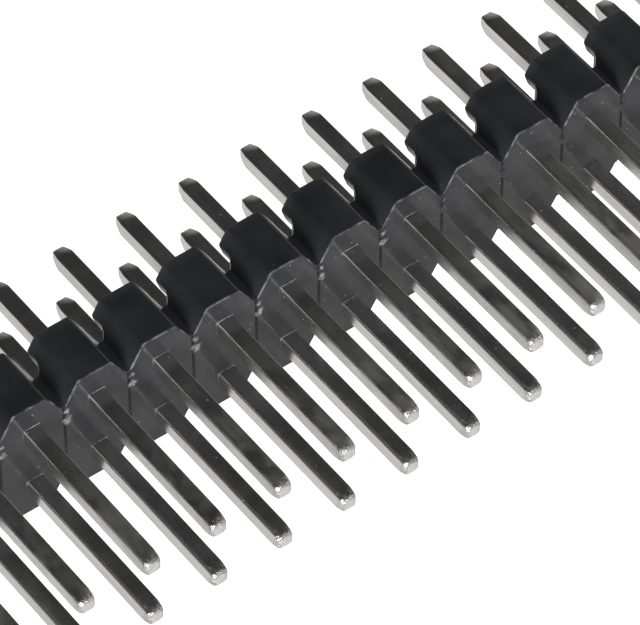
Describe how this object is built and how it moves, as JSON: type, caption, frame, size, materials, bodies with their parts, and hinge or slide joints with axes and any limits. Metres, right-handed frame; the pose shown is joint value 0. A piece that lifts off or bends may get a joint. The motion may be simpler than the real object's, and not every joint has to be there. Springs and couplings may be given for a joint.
{
  "type": "pin header strip",
  "caption": "Straight double-row pin header strip: square tinned pins pressed through a notched black plastic bar that snaps apart between columns and solders to a board.",
  "frame": {"origin": "middle of the plane where the housing's feet meet the circuit board", "axes": "+X along the strip, +Y from the front row to the rear row, +Z along the pins towards their mating tips"},
  "size_m": [0.0506, 0.005, 0.0126],
  "materials": {
    "housing": "glossy black moulded thermoplastic",
    "pins": "bright tin plate on brass wire"
  },
  "bodies": {
    "root": {"housing": "housing", "front_pin_01": "pins", "front_pin_02": "pins", "front_pin_03": "pins", "front_pin_04": "pins", "front_pin_05": "pins", "front_pin_06": "pins", "front_pin_07": "pins", "front_pin_08": "pins", "front_pin_09": "pins", "front_pin_10": "pins", "front_pin_11": "pins", "front_pin_12": "pins", "front_pin_13": "pins", "front_pin_14": "pins", "front_pin_15": "pins", "front_pin_16": "pins", "front_pin_17": "pins", "front_pin_18": "pins", "front_pin_19": "pins", "front_pin_20": "pins", "rear_pin_01": "pins", "rear_pin_02": "pins", "rear_pin_03": "pins", "rear_pin_04": "pins", "rear_pin_05": "pins", "rear_pin_06": "pins", "rear_pin_07": "pins", "rear_pin_08": "pins", "rear_pin_09": "pins", "rear_pin_10": "pins", "rear_pin_11": "pins", "rear_pin_12": "pins", "rear_pin_13": "pins", "rear_pin_14": "pins", "rear_pin_15": "pins", "rear_pin_16": "pins", "rear_pin_17": "pins", "rear_pin_18": "pins", "rear_pin_19": "pins", "rear_pin_20": "pins"}
  },
  "joints": []
}
